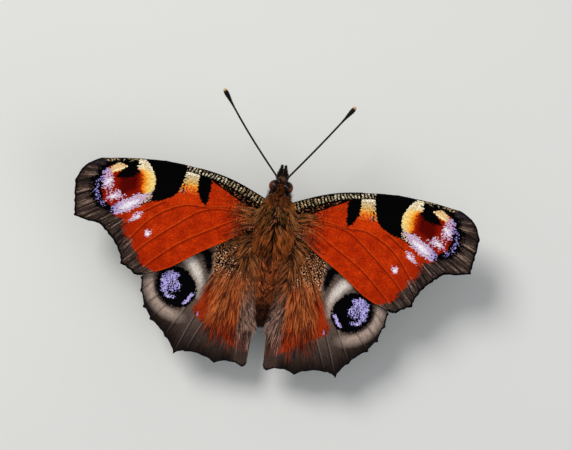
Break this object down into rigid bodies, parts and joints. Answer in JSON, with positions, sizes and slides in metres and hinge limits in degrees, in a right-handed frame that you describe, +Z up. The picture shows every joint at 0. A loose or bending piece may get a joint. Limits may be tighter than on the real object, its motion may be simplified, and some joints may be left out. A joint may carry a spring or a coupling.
{
  "type": "peacock butterfly",
  "caption": "Life-size peacock butterfly standing with all four eyespotted wings spread nearly flat, feelers raised forward.",
  "frame": {"origin": "on the floor under the middle of the animal's box, halfway from the feelers' tips to the hindwings' hind lobes", "axes": "+Y towards the head, +X to the animal's right side, +Z up"},
  "size_m": [0.062, 0.0413, 0.0122],
  "materials": {
    "head": "short brown hair",
    "eye": "dark red-brown, finely faceted, glossy",
    "feeler": "black, satin, cream tips",
    "body": "long brown and tawny hair",
    "forewing": "matt scales, rust-red with eyespot and dark margin",
    "hindwing": "matt scales, rust-red and grey-brown with eyespot",
    "leg": "brown, satin"
  },
  "bodies": {
    "root": {"head": "head", "eye_right": "eye", "eye_left": "eye", "antenna_right": "feeler", "antenna_left": "feeler", "palp_right": "head", "palp_left": "head", "proboscis": "head", "thorax": "body", "abdomen": "body", "forewing_right": "forewing", "forewing_left": "forewing", "hindwing_right": "hindwing", "hindwing_left": "hindwing", "foreleg_right": "leg", "foreleg_left": "leg", "midleg_right": "leg", "midleg_left": "leg", "hindleg_right": "leg", "hindleg_left": "leg"}
  },
  "joints": []
}
